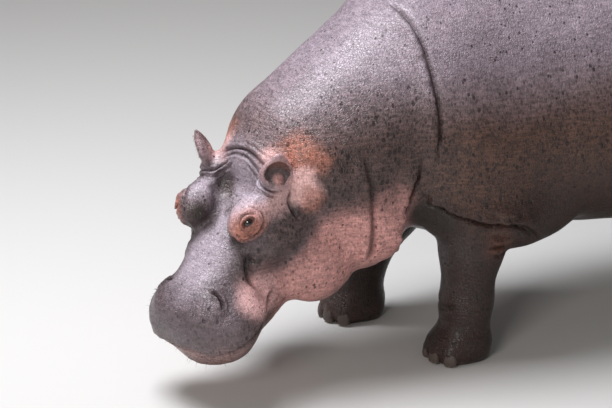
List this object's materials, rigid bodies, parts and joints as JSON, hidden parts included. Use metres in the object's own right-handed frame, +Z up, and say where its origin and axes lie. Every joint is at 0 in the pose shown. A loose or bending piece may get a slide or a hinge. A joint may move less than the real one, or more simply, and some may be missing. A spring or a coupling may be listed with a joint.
{
  "type": "hippopotamus",
  "caption": "Life-size still model of a common hippopotamus, standing with its head lowered and turned to its left, as a museum shows one.",
  "frame": {"origin": "bottom centre of the bounding box, on the floor that the feet stand on", "axes": "+X to the animal's left, +Y from its head to its tail, +Z up"},
  "size_m": [0.9364, 2.9782, 1.3883],
  "materials": {
    "hide": "satin",
    "face": "satin",
    "eyeball": "gloss"
  },
  "bodies": {
    "root": {"ear_left": "hide", "ear_right": "hide", "eye_left": "eyeball", "eye_right": "eyeball", "forefoot_left": "hide", "forefoot_right": "hide", "foreleg_left": "hide", "foreleg_right": "hide", "head": "face", "hindfoot_left": "hide", "hindfoot_right": "hide", "hindleg_left": "hide", "hindleg_right": "hide", "lower_jaw": "face", "neck": "hide", "tail": "hide", "trunk": "hide"}
  },
  "joints": []
}
